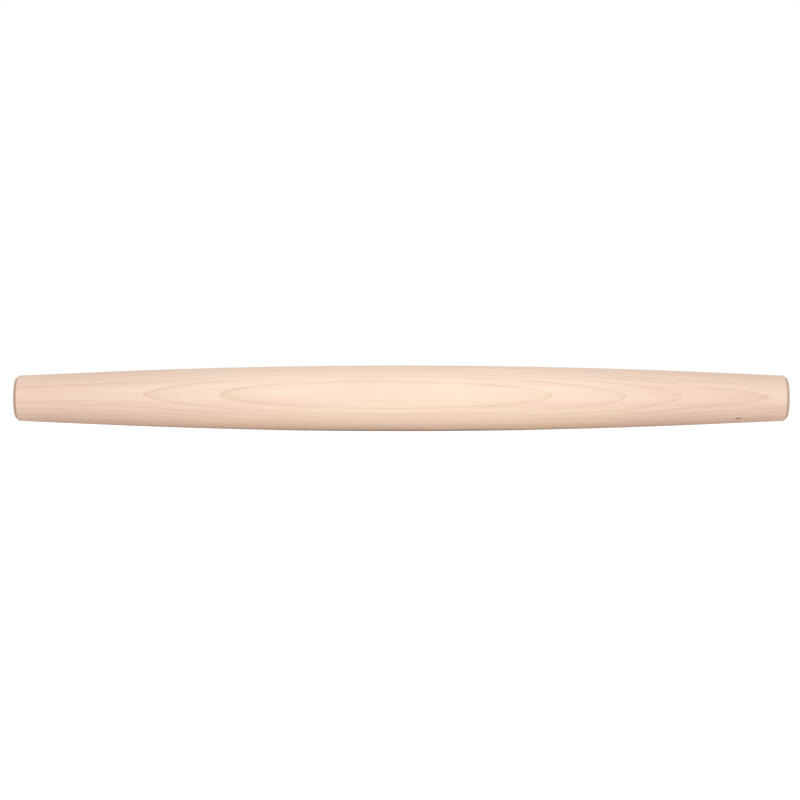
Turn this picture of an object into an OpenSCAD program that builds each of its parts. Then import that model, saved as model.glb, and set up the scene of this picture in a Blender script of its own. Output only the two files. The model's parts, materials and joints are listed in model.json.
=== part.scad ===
// French rolling pin: one billet of hard maple, turned to a long swelling taper.
// The pin lies along X, and the origin is the middle of its axis.

/* [Pin] */
// Length from end face to end face
pin_length = 520.7; // [400:0.1:600]
// Diameter at the middle, where the pin is thickest
middle_d = 44.45; // [40:0.05:60]
// Diameter that each straight taper reaches at the end of the pin
end_d = 30.6; // [22:0.1:38]
// Length of the straight taper at each end, where the palms rest
taper_length = 60; // [20:1:150]

/* [Ends] */
// Depth of the chamfer round each end face, along the pin
chamfer = 2.2; // [1:0.1:5]
// Angle between the chamfer and the pin's axis
chamfer_angle = 45; // [35:1:60]
// Radius that eases both edges of the chamfer
arris_r = 0.8; // [0.2:0.1:1.5]

/* [Smoothness] */
// Straight steps that follow the belly from the middle to one taper
belly_steps = 24; // [8:1:48]
// Straight steps round each eased edge
arris_steps = 4; // [2:1:8]

/* [Hidden] */
maple = [0.96, 0.86, 0.77];

// The belly is a parabola that runs into the straight taper with no corner. Its bend then follows
// from how much the pin thins between the middle and its ends.
half_length = pin_length / 2;
belly_half = half_length - taper_length;
thinning = (middle_d - end_d) / 2;
belly_bend = thinning / (belly_half * (belly_half + 2 * taper_length));

// The two corners of the chamfer, before they are eased. An outline point is [radius, place along
// the pin].
taper_slope = 2 * belly_bend * belly_half;
chamfer_start = [end_d / 2 + taper_slope * chamfer, half_length - chamfer];
face_edge = [chamfer_start[0] - chamfer * tan(chamfer_angle), half_length];
face_centre = [0, half_length];

function belly_point(along) = [middle_d / 2 - belly_bend * along * along, along];

function turned(v, angle) = [v[0] * cos(angle) - v[1] * sin(angle), v[0] * sin(angle) + v[1] * cos(angle)];

function unit(v) = v / norm(v);

// Arc of radius r that rounds corner b between its neighbours a and c. The outline bends left at b.
function eased(a, b, c, r, steps) =
    let (
        back = unit(a - b),
        ahead = unit(c - b),
        half_corner = acos(back * ahead) / 2,
        centre = b + unit(back + ahead) * r / sin(half_corner),
        first = b + back * r / tan(half_corner) - centre,
        sweep = 180 - 2 * half_corner
    )
    [for (i = [0 : steps]) centre + turned(first, sweep * i / steps)];

// Outline of the half from the middle to the right end
half_outline = concat(
    [for (i = [1 : belly_steps]) belly_point(belly_half * i / belly_steps)],
    eased(belly_point(belly_half), chamfer_start, face_edge, arris_r, arris_steps),
    eased(chamfer_start, face_edge, face_centre, arris_r, arris_steps),
    [face_centre]
);

// The left half is the same outline, walked back from its end
last = len(half_outline) - 1;
left_outline = [for (i = [last : -1 : 0]) [half_outline[i][0], -half_outline[i][1]]];
pin_outline = concat(left_outline, [belly_point(0)], half_outline);

module rolling_pin() {
    color(maple)
        rotate([0, 90, 0])
            rotate_extrude($fn = 180)
                polygon(pin_outline);
}

rolling_pin();
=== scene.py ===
import json
import math

import bpy
from mathutils import Matrix, Vector, noise

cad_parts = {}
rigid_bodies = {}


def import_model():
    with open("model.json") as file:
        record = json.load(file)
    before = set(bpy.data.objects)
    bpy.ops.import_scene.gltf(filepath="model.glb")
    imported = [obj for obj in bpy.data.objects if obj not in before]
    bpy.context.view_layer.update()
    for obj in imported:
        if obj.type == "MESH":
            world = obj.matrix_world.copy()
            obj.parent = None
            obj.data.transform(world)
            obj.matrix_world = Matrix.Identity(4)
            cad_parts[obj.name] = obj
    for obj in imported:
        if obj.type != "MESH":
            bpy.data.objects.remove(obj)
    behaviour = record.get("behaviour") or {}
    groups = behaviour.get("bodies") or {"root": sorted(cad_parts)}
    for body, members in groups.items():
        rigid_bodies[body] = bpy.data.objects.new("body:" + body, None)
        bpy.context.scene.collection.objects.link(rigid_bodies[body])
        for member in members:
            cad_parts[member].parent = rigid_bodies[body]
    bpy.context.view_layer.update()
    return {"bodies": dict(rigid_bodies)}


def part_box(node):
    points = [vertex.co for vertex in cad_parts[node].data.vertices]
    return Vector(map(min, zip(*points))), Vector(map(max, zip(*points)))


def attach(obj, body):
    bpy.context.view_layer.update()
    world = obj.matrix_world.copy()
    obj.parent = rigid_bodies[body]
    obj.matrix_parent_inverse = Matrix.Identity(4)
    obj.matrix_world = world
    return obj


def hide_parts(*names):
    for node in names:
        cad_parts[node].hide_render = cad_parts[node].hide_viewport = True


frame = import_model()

bl_info = {
    "name": "French Rolling Pin",
    "version": (1, 0, 0),
    "blender": (4, 5, 0),
    "location": "3D View > Sidebar > Rolling Pin",
    "description": "Turns a tapered maple rolling pin and sets it on a pale studio floor",
    "category": "Object",
}

MM = 0.001
CAD_NODE = "rolling_pin"
CAD_BODY = next(iter(frame["bodies"]))
WHITE = (1, 1, 1, 1)
SENSOR_WIDTH = 36.0

cad_low, cad_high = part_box(CAD_NODE)
CAD_LENGTH = cad_high.x - cad_low.x
CAD_DIAMETER = min(cad_high.y - cad_low.y, cad_high.z - cad_low.z)

# The Mix node's colour sockets share their names with others, so they are found by number
MIX_FACTOR = 0
MIX_FIRST = 6
MIX_SECOND = 7
MIX_RESULT = 2

# The wood's own sizes are in millimetres. Depth is counted from the pin's axis towards the bark.
FIRST_RING_DEPTH = 16.68
# Depth that the rings lose for each millimetre towards the right end
RING_LEAN = 0.0013
# Turn of the figure about the pith for each millimetre towards the right end
FIGURE_TWIST = math.radians(0.0142)
# Where the rings start to bow near each end, how steeply, and how softly the bow sets in
LEFT_BOW_START = -169
LEFT_BOW = 0.031
RIGHT_BOW_START = 191
RIGHT_BOW = 0.024
BOW_EASE = 12
# How fast the late wood of a year fades: its thin line, and the wide shade beside it
LINE_SHARPNESS = 22
SHADE_SHARPNESS = 4

# Middle and half size of the mineral fleck, and the squared distances between which it fades
FLECK_MIDDLE = (226.4, -9.7, -13.6)
FLECK_HALF = (2.3, 0.75, 0.75)
FLECK_FADE = (0.35, 1.3)


def screen_colour(red, green, blue):
    """Turns a colour as a screen shows it, from 0 to 255, into Blender's linear values."""
    def linear(value):
        share = value / 255
        return share / 12.92 if share <= 0.04045 else ((share + 0.055) / 1.055) ** 2.4
    return (linear(red), linear(green), linear(blue))


class NodeWork:
    """A node tree being built. Every node is added through node()."""

    def __init__(self, tree):
        self.tree = tree
        tree.nodes.clear()

    def node(self, kind, settings=None, sockets=None, output=0):
        """Adds a node, makes its settings, fills or links its sockets and returns one output."""
        made = self.tree.nodes.new(kind)
        for name, value in (settings or {}).items():
            setattr(made, name, value)
        for name, value in (sockets or {}).items():
            if isinstance(value, Value):
                self.tree.links.new(value.socket, made.inputs[name])
            else:
                made.inputs[name].default_value = value
        return Value(self, made.outputs[output]) if made.outputs else made

    def mix(self, factor, first, second, blend="MIX"):
        """Mixes two colours."""
        settings = {"data_type": "RGBA", "blend_type": blend, "clamp_factor": True}
        sockets = {
            MIX_FACTOR: factor,
            MIX_FIRST: padded_colour(first),
            MIX_SECOND: padded_colour(second),
        }
        return self.node("ShaderNodeMix", settings, sockets, MIX_RESULT)

    def place(self, x, y, z):
        """Joins three numbers into a place."""
        return self.node("ShaderNodeCombineXYZ", None, {"X": x, "Y": y, "Z": z})

    def grain(self, where, detail, roughness):
        """Noise from 0 to 1 with one blotch to each unit of the place."""
        sockets = {"Vector": where, "Scale": 1.0, "Detail": detail, "Roughness": roughness}
        return self.node("ShaderNodeTexNoise", {"noise_dimensions": "3D"}, sockets, "Fac")


class Value:
    """One output socket. Sums on it add Math nodes to its tree."""

    def __init__(self, work, socket):
        self.work = work
        self.socket = socket

    def beside(self, output):
        """Another output of the same node."""
        return Value(self.work, self.socket.node.outputs[output])

    def math(self, operation, *others, swapped=False):
        """Adds a Math node of that operation on this value and the others."""
        terms = [self, *others]
        if swapped:
            terms.reverse()
        return self.work.node("ShaderNodeMath", {"operation": operation}, dict(enumerate(terms)))

    def __add__(self, other):
        return self.math("ADD", other)

    __radd__ = __add__

    def __sub__(self, other):
        return self.math("SUBTRACT", other)

    def __rsub__(self, other):
        return self.math("SUBTRACT", other, swapped=True)

    def __mul__(self, other):
        return self.math("MULTIPLY", other)

    __rmul__ = __mul__

    def __truediv__(self, other):
        return self.math("DIVIDE", other)

    def __rtruediv__(self, other):
        return self.math("DIVIDE", other, swapped=True)

    def __pow__(self, other):
        return self.math("POWER", other)

    def __rpow__(self, other):
        return self.math("POWER", other, swapped=True)

    def between(self, low, high):
        """0 at low and under, 1 at high and over, with a soft run between them."""
        sockets = {"Value": self, "From Min": low, "From Max": high}
        return self.work.node("ShaderNodeMapRange", {"interpolation_type": "SMOOTHSTEP"}, sockets)


def padded_colour(colour):
    """Gives a plain colour its fourth number, and leaves a link alone."""
    return colour if isinstance(colour, Value) else (*colour, 1.0)


class PinSizes(bpy.types.PropertyGroup):
    """The turned shape, as it is drawn in the part's source."""

    length: bpy.props.FloatProperty(
        name="Length", description="From end face to end face",
        default=CAD_LENGTH, unit="LENGTH", subtype="DISTANCE")
    middle_diameter: bpy.props.FloatProperty(
        name="Middle diameter", description="Thickest place of the pin",
        default=CAD_DIAMETER, unit="LENGTH", subtype="DISTANCE")
    end_diameter: bpy.props.FloatProperty(
        name="End diameter", description="Diameter that each straight taper reaches at its end",
        default=30.6 * MM, unit="LENGTH", subtype="DISTANCE")
    taper_length: bpy.props.FloatProperty(
        name="Taper length", description="Straight taper at each end, where the palms rest",
        default=60 * MM, unit="LENGTH", subtype="DISTANCE")
    chamfer: bpy.props.FloatProperty(
        name="Chamfer", description="Depth of the chamfer round each end face, along the pin",
        default=2.2 * MM, unit="LENGTH", subtype="DISTANCE")
    arris_radius: bpy.props.FloatProperty(
        name="Arris radius", description="Radius that eases both edges of the chamfer",
        default=0.8 * MM, unit="LENGTH", subtype="DISTANCE")
    sanding_depth: bpy.props.FloatProperty(
        name="Sanding depth", description="How deep hand sanding leaves the surface out of true",
        default=0.045 * MM, unit="LENGTH", subtype="DISTANCE", precision=6)
    faces_round: bpy.props.IntProperty(
        name="Faces round", description="Faces round the pin", default=160)
    face_length: bpy.props.FloatProperty(
        name="Face length", description="Longest face along the pin's side",
        default=2.4 * MM, unit="LENGTH", subtype="DISTANCE")


class MapleLook(bpy.types.PropertyGroup):
    """The figure and colours of the maple, and shade painted darker towards its two ends."""

    pale: bpy.props.FloatVectorProperty(
        name="Pale wood", description="The palest of the early wood",
        default=screen_colour(249, 226, 202), size=3, subtype="COLOR", min=0, max=1)
    rosy: bpy.props.FloatVectorProperty(
        name="Rosy wood", description="Warmer streaks in the early wood",
        default=screen_colour(243, 214, 194), size=3, subtype="COLOR", min=0, max=1)
    late: bpy.props.FloatVectorProperty(
        name="Late wood", description="The thin line that ends each year",
        default=screen_colour(222, 192, 164), size=3, subtype="COLOR", min=0, max=1)
    ray: bpy.props.FloatVectorProperty(
        name="Rays", description="Fine flecks that cross the rings",
        default=screen_colour(226, 197, 171), size=3, subtype="COLOR", min=0, max=1)
    end_grain: bpy.props.FloatVectorProperty(
        name="End grain", description="How much of each colour wood cut across its fibres keeps",
        default=screen_colour(206, 190, 176), size=3, subtype="COLOR", min=0, max=1)
    fleck: bpy.props.FloatVectorProperty(
        name="Fleck", description="The small mineral fleck near one end",
        default=screen_colour(112, 76, 56), size=3, subtype="COLOR", min=0, max=1)
    # Painted shade: a colour multiplied into the wood towards both ends, standing in for the lamp's
    # light falling off there. It is not a tone of the maple.
    painted_end_shade: bpy.props.FloatVectorProperty(
        name="End tan", description="How much of each colour the wood keeps at the two ends",
        default=(0.91, 0.87, 0.88), size=3, subtype="COLOR", min=0, max=1)
    ring_width: bpy.props.FloatProperty(
        name="Ring width", description="One year's growth, in millimetres", default=1.39)
    pith_distance: bpy.props.FloatProperty(
        name="Pith distance", description="From the pin's axis back to the pith, in millimetres",
        default=38.0)
    figure_turn: bpy.props.FloatProperty(
        name="Figure turn", description="How far the figure is turned at the middle of the pin",
        default=math.radians(5.5), unit="ROTATION", subtype="ANGLE")
    gloss_index: bpy.props.FloatProperty(
        name="Index of refraction", description="Of the wood's surface", default=1.46)
    gloss_level: bpy.props.FloatProperty(
        name="Gloss level", description="Strength of the sheen", default=0.4)


class StageSizes(bpy.types.PropertyGroup):
    """The floor, the lamp and the camera."""

    camera_distance: bpy.props.FloatProperty(
        name="Camera distance", description="From the camera to the pin's axis",
        default=1.65, unit="LENGTH", subtype="DISTANCE")
    view_width: bpy.props.FloatProperty(
        name="View width", description="Width that the picture takes in at the pin's axis",
        default=540.56 * MM, unit="LENGTH", subtype="DISTANCE")
    camera_aside: bpy.props.FloatProperty(
        name="Camera aside", description="How far the camera stands left of the pin's middle",
        default=0.95 * MM, unit="LENGTH", subtype="DISTANCE")
    camera_below: bpy.props.FloatProperty(
        name="Camera below", description="How far the camera stands below the pin's axis",
        default=1.15 * MM, unit="LENGTH", subtype="DISTANCE")
    lamp_place: bpy.props.FloatVectorProperty(
        name="Lamp place", description="Middle of the soft box, in front of the pin and above it",
        default=(0.12, -1.5, 0.6), size=3, unit="LENGTH", subtype="TRANSLATION")
    lamp_width: bpy.props.FloatProperty(
        name="Lamp width", description="Width of the soft box",
        default=1.2, unit="LENGTH", subtype="DISTANCE")
    lamp_height: bpy.props.FloatProperty(
        name="Lamp height", description="Height of the soft box",
        default=0.8, unit="LENGTH", subtype="DISTANCE")
    lamp_power: bpy.props.FloatProperty(
        name="Lamp power", description="Power of the soft box, in watts", default=12.5)
    floor_size: bpy.props.FloatProperty(
        name="Floor size", description="Side of the square floor",
        default=8.0, unit="LENGTH", subtype="DISTANCE")
    floor_colour: bpy.props.FloatVectorProperty(
        name="Floor", description="Colour of the floor",
        default=(0.9, 0.9, 0.9), size=3, subtype="COLOR", min=0, max=1)
    room_light: bpy.props.FloatProperty(
        name="Room light", description="Strength of the even light from all round", default=0.6)
    floor_lift: bpy.props.FloatProperty(
        name="Floor lift", description="Light that the floor adds where it is seen", default=0.55)


def turned(v, angle):
    """Turns an outline point about the outline's origin."""
    return Matrix.Rotation(angle, 2) @ v


def eased(before, corner, after, radius, steps):
    """Arc that rounds a corner of the outline, which bends right there, between its neighbours."""
    back = (before - corner).normalized()
    ahead = (after - corner).normalized()
    half_corner = back.angle(ahead) / 2
    centre = corner + (back + ahead).normalized() * radius / math.sin(half_corner)
    first = corner + back * radius / math.tan(half_corner) - centre
    sweep = math.pi - 2 * half_corner
    return [centre + turned(first, -sweep * i / steps) for i in range(steps + 1)]


def evenly(start, end, longest):
    """Points from start up to but not including end, no further apart than longest."""
    count = math.ceil((end - start).length / longest)
    return [start.lerp(end, i / count) for i in range(count)]


def side_outline(sizes):
    """Points (along, radius) of the side from the middle to the right chamfer, and where it starts."""
    half_length = sizes.length / 2
    middle_radius = sizes.middle_diameter / 2
    belly_half = half_length - sizes.taper_length
    thinning = middle_radius - sizes.end_diameter / 2
    bend = thinning / (belly_half * (belly_half + 2 * sizes.taper_length))
    slope = 2 * bend * belly_half
    steps = math.ceil(belly_half / sizes.face_length)
    belly = []
    for i in range(steps):
        along = belly_half * i / steps
        belly.append(Vector((along, middle_radius - bend * along ** 2)))
    taper_start = Vector((belly_half, middle_radius - bend * belly_half ** 2))
    chamfer_radius = sizes.end_diameter / 2 + slope * sizes.chamfer
    chamfer_start = Vector((half_length - sizes.chamfer, chamfer_radius))
    return belly + evenly(taper_start, chamfer_start, sizes.face_length), chamfer_start


def end_outline(sizes, side_end, chamfer_start):
    """Points (along, radius) of the right end, from the chamfer's outer edge towards the axis."""
    arris_steps = 6
    chamfer_faces = 4
    face_rings = 7
    # Over 1, so that the rings of the face lie closer together towards its edge
    crowding = 1.5
    face_edge = chamfer_start + Vector((sizes.chamfer, -sizes.chamfer))
    face_centre = Vector((face_edge.x, 0))
    outer_arris = eased(side_end, chamfer_start, face_edge, sizes.arris_radius, arris_steps)
    inner_arris = eased(chamfer_start, face_edge, face_centre, sizes.arris_radius, arris_steps)
    bevel_start = outer_arris[-1]
    face_start = inner_arris[-1]
    bevel = [bevel_start.lerp(inner_arris[0], i / chamfer_faces) for i in range(1, chamfer_faces)]
    face = [face_start.lerp(face_centre, (i / face_rings) ** crowding) for i in range(1, face_rings)]
    return outer_arris + bevel + inner_arris + face


def sanding(along, angle, radius):
    """How far hand sanding left this place out of true, from 0 to 1."""
    long_wave = 45 * MM
    round_wave = 11 * MM
    waves_out = radius / round_wave
    place = Vector((along / long_wave, waves_out * math.cos(angle), waves_out * math.sin(angle)))
    return (1 + noise.noise(place)) / 2


def pin_mesh(sizes):
    """The whole surface of the pin, as rings of points round its axis."""
    side, chamfer_start = side_outline(sizes)
    end = end_outline(sizes, side[-1], chamfer_start)
    half = side + end
    mirrored = [Vector((-p.x, p.y)) for p in reversed(half[1:])]
    outline = mirrored + half
    first_side = len(end)
    last_side = len(outline) - 1 - len(end)
    count = sizes.faces_round

    verts = [Vector((-sizes.length / 2, 0, 0))]
    for ring, point in enumerate(outline):
        on_side = first_side <= ring <= last_side
        for i in range(count):
            angle = 2 * math.pi * i / count
            worn = sizes.sanding_depth * sanding(point.x, angle, point.y) if on_side else 0
            radius = point.y - worn
            verts.append(Vector((point.x, radius * math.sin(angle), radius * math.cos(angle))))
    verts.append(Vector((sizes.length / 2, 0, 0)))

    left_centre = 0
    right_centre = len(verts) - 1
    first_ring = 1
    last_ring = first_ring + (len(outline) - 1) * count
    pairs = [(i, (i + 1) % count) for i in range(count)]
    faces = [(left_centre, first_ring + i, first_ring + j) for i, j in pairs]
    for near in range(first_ring, last_ring, count):
        far = near + count
        faces += [(near + j, near + i, far + i, far + j) for i, j in pairs]
    faces += [(last_ring + j, last_ring + i, right_centre) for i, j in pairs]

    mesh = bpy.data.meshes.new("turned_pin")
    mesh.from_pydata(verts, [], faces)
    mesh.polygons.foreach_set("use_smooth", [True] * len(mesh.polygons))
    mesh.validate()
    return mesh


class Billet:
    """The piece of maple that the pin is cut from, as values of any place in it."""

    def __init__(self, wood, look):
        self.wood = wood
        self.look = look
        here = wood.node("ShaderNodeTexCoord", output="Object")
        scaled = wood.node("ShaderNodeVectorMath", {"operation": "SCALE"}, {0: here, "Scale": 1 / MM})
        self.x = wood.node("ShaderNodeSeparateXYZ", None, {0: scaled}, "X")
        self.y = self.x.beside("Y")
        self.z = self.x.beside("Z")
        self.find_rings()

    def drawn_out(self, length, width, detail, roughness):
        """Noise in blotches of this length along the pin and this width across it."""
        where = self.wood.place(self.x / length, self.y / width, self.z / width)
        return self.wood.grain(where, detail, roughness)

    def find_rings(self):
        """Works out the distance from the pith, the turn about it and the depth among the rings."""
        look = self.look
        middle_drop = look.pith_distance * math.sin(look.figure_turn)
        pith_up = self.x * (look.pith_distance * FIGURE_TWIST) - middle_drop
        behind = look.pith_distance * math.cos(look.figure_turn) - self.y
        above = self.z - pith_up
        self.from_pith = (behind * behind + above * above).math("SQRT")
        self.turn = above.math("ARCTAN2", behind)

        left_bow = (LEFT_BOW_START - self.x).math("SMOOTH_MAX", 0, BOW_EASE) * LEFT_BOW
        right_bow = (self.x - RIGHT_BOW_START).math("SMOOTH_MAX", 0, BOW_EASE) * RIGHT_BOW
        broad = self.drawn_out(length=70, width=14, detail=1, roughness=0.5) - 0.5
        close = self.drawn_out(length=12, width=2, detail=2, roughness=0.6) - 0.5
        feather = self.drawn_out(length=5, width=0.3, detail=1, roughness=0.5) - 0.5
        wander = broad * 0.3 + close * 0.16 + feather * 0.08
        straight = self.from_pith - look.pith_distance - self.x * RING_LEAN
        self.depth = straight + left_bow + right_bow + wander

    def fleck(self):
        """1 inside the small mineral fleck and 0 well outside it."""
        along = ((self.x - FLECK_MIDDLE[0]) / FLECK_HALF[0]) ** 2
        across = ((self.y - FLECK_MIDDLE[1]) / FLECK_HALF[1]) ** 2
        up = ((self.z - FLECK_MIDDLE[2]) / FLECK_HALF[2]) ** 2
        return 1 - (along + across + up).between(*FLECK_FADE)

    def cut_across(self):
        """1 where the surface cuts across the fibres, as on the end faces, and 0 along them."""
        facing = self.wood.node("ShaderNodeNewGeometry", output="Normal")
        along = self.wood.node("ShaderNodeSeparateXYZ", None, {0: facing}, "X")
        return along.math("ABSOLUTE").between(0.3, 0.8)


def maple_finish(look):
    """Sanded hard maple, cut through one piece of wood: rings, rays, fibres, pores and a fleck, with
    shade painted darker towards both ends.
    """
    material = bpy.data.materials.new("sanded_maple")
    material.use_nodes = True
    wood = NodeWork(material.node_tree)
    billet = Billet(wood, look)

    early = 1 - ((billet.depth - FIRST_RING_DEPTH) / look.ring_width).math("FRACT")
    line = early ** LINE_SHARPNESS
    shade = early ** SHADE_SHARPNESS
    streak = billet.drawn_out(length=110, width=3.2, detail=3, roughness=0.55)
    fibre = billet.drawn_out(length=26, width=0.55, detail=3, roughness=0.6)
    pore = billet.drawn_out(length=7, width=0.16, detail=1, roughness=0.5)
    ray_place = wood.place(billet.x / 0.8, billet.from_pith / 9, billet.turn * 230)
    ray = wood.grain(ray_place, detail=2, roughness=0.6)
    uneven_place = wood.place(billet.x / 50, billet.depth / 1.1, billet.turn * 5)
    uneven = wood.grain(uneven_place, detail=1, roughness=0.5)
    faintest_ring = 0.4
    strength = uneven.between(0.25, 0.7) * (1 - faintest_ring) + faintest_ring

    # Each layer is where it lies, how strong it is there at most, and its colour
    tone = wood.mix(streak.between(0.2, 0.8), look.pale[:], look.rosy[:])
    layers = (
        (shade * strength, 0.5, look.late),
        (line * strength, 0.9, look.late),
        (ray.between(0.6, 0.85), 0.25, look.ray),
        (fibre.between(0.52, 0.85), 0.22, look.late),
        (pore.between(0.62, 0.85), 0.2, look.late),
    )
    for where, most, colour in layers:
        tone = wood.mix(where * most, tone, colour[:])

    # Painted shade: the wood is darkened from 40 mm out to 235 mm from the middle, where the light
    # falls off towards the ends.
    end_shade_mask = billet.x.math("ABSOLUTE").between(40, 235)
    tone = wood.mix(end_shade_mask, tone, look.painted_end_shade[:], "MULTIPLY")
    tone = wood.mix(billet.fleck() * 0.9, tone, look.fleck[:])
    cut_across = billet.cut_across()
    tone = wood.mix(cut_across * 0.75, tone, look.end_grain[:], "MULTIPLY")

    height = fibre * 0.5 + pore * 0.35 + line * 0.3
    relief = {"Strength": 0.5, "Distance": 0.03 * MM, "Height": height}
    surface = {
        "Base Color": tone,
        "Roughness": 0.5 + fibre * 0.1 + cut_across * 0.15 - shade * 0.04,
        "Normal": wood.node("ShaderNodeBump", None, relief),
        "IOR": look.gloss_index,
        "Specular IOR Level": look.gloss_level,
    }
    shader = wood.node("ShaderNodeBsdfPrincipled", None, surface)
    wood.node("ShaderNodeOutputMaterial", None, {"Surface": shader})
    return material


def seen_directly(work):
    """1 where a ray comes from the camera, a reflection or glass, and 0 elsewhere."""
    camera = work.node("ShaderNodeLightPath", output="Is Camera Ray")
    glossy = camera.beside("Is Glossy Ray")
    through = camera.beside("Is Transmission Ray")
    return camera.math("MAXIMUM", glossy).math("MAXIMUM", through)


def floor_finish(stage):
    """A matt pale floor that keeps the pin's shadow, lifted a little where it is seen."""
    material = bpy.data.materials.new("pale_floor")
    material.use_nodes = True
    work = NodeWork(material.node_tree)
    paint = work.node("ShaderNodeBsdfDiffuse", None, {"Color": padded_colour(stage.floor_colour)})
    lift = seen_directly(work) * stage.floor_lift
    glow = work.node("ShaderNodeEmission", None, {"Color": WHITE, "Strength": lift})
    both = work.node("ShaderNodeAddShader", None, {0: paint, 1: glow})
    work.node("ShaderNodeOutputMaterial", None, {"Surface": both})
    return material


def floor_sheet(stage):
    """The floor, a square that the pin's lowest line touches."""
    half = stage.floor_size / 2
    corners = [(-half, -half), (half, -half), (half, half), (-half, half)]
    mesh = bpy.data.meshes.new("floor")
    mesh.from_pydata([(x, y, cad_low.z) for x, y in corners], [], [(0, 1, 2, 3)])
    floor = bpy.data.objects.new("floor", mesh)
    floor.data.materials.append(floor_finish(stage))
    return floor


def lit_room(stage):
    """The world: even soft light, and plain white where it is seen."""
    world = bpy.data.worlds.new("white_room")
    world.use_nodes = True
    work = NodeWork(world.node_tree)
    strength = seen_directly(work) * (1 - stage.room_light) + stage.room_light
    sky = work.node("ShaderNodeBackground", None, {"Color": WHITE, "Strength": strength})
    work.node("ShaderNodeOutputWorld", None, {"Surface": sky})
    return world


def front_softbox(stage):
    """The one lamp, a soft box that faces the pin's middle."""
    lamp = bpy.data.lights.new("front_softbox", "AREA")
    lamp.shape = "RECTANGLE"
    lamp.size = stage.lamp_width
    lamp.size_y = stage.lamp_height
    lamp.energy = stage.lamp_power
    softbox = bpy.data.objects.new("front_softbox", lamp)
    place = Vector(stage.lamp_place)
    softbox.location = place
    softbox.rotation_euler = (-place).to_track_quat("-Z", "Y").to_euler()
    return softbox


def level_camera(stage):
    """A camera that looks level along +Y at the pin's whole length."""
    lens = bpy.data.cameras.new("camera")
    lens.sensor_width = SENSOR_WIDTH
    lens.lens = SENSOR_WIDTH * stage.camera_distance / stage.view_width
    camera = bpy.data.objects.new("camera", lens)
    camera.location = (-stage.camera_aside, -stage.camera_distance, -stage.camera_below)
    camera.rotation_euler = (math.radians(90), 0, 0)
    return camera


class ROLLINGPIN_OT_turn(bpy.types.Operator):
    """Turn the pin and give it its maple finish"""

    bl_idname = "rollingpin.turn"
    bl_label = "Turn the Pin"

    def execute(self, context):
        scene = context.scene
        pin = bpy.data.objects.new("turned_pin", pin_mesh(scene.pin_sizes))
        scene.collection.objects.link(pin)
        pin.data.materials.append(maple_finish(scene.maple_look))
        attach(pin, CAD_BODY)
        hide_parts(CAD_NODE)
        return {"FINISHED"}


class ROLLINGPIN_OT_stage(bpy.types.Operator):
    """Lay the floor, hang the lamp and stand the camera in front of the pin"""

    bl_idname = "rollingpin.stage"
    bl_label = "Set the Stage"

    def execute(self, context):
        scene = context.scene
        stage = scene.pin_stage
        floor = floor_sheet(stage)
        scene.collection.objects.link(floor)

        scene.world = lit_room(stage)
        scene.collection.objects.link(front_softbox(stage))

        camera = level_camera(stage)
        scene.collection.objects.link(camera)
        scene.camera = camera
        scene.view_settings.view_transform = "Standard"
        return {"FINISHED"}


class ROLLINGPIN_PT_panel(bpy.types.Panel):
    """The pin's operators, in the order in which they run"""

    bl_idname = "ROLLINGPIN_PT_panel"
    bl_label = "Rolling Pin"
    bl_space_type = "VIEW_3D"
    bl_region_type = "UI"
    bl_category = "Rolling Pin"

    def draw(self, context):
        self.layout.operator("rollingpin.turn")
        self.layout.operator("rollingpin.stage")


CLASSES = (
    PinSizes,
    MapleLook,
    StageSizes,
    ROLLINGPIN_OT_turn,
    ROLLINGPIN_OT_stage,
    ROLLINGPIN_PT_panel,
)


def register():
    """Adds the classes and gives each scene its sizes, look and stage."""
    for cls in CLASSES:
        bpy.utils.register_class(cls)
    bpy.types.Scene.pin_sizes = bpy.props.PointerProperty(type=PinSizes)
    bpy.types.Scene.maple_look = bpy.props.PointerProperty(type=MapleLook)
    bpy.types.Scene.pin_stage = bpy.props.PointerProperty(type=StageSizes)


def unregister():
    """Takes back what register() added."""
    del bpy.types.Scene.pin_stage
    del bpy.types.Scene.maple_look
    del bpy.types.Scene.pin_sizes
    for cls in reversed(CLASSES):
        bpy.utils.unregister_class(cls)


def main():
    register()
    bpy.ops.rollingpin.turn()
    bpy.ops.rollingpin.stage()


if __name__ == "__main__":
    main()
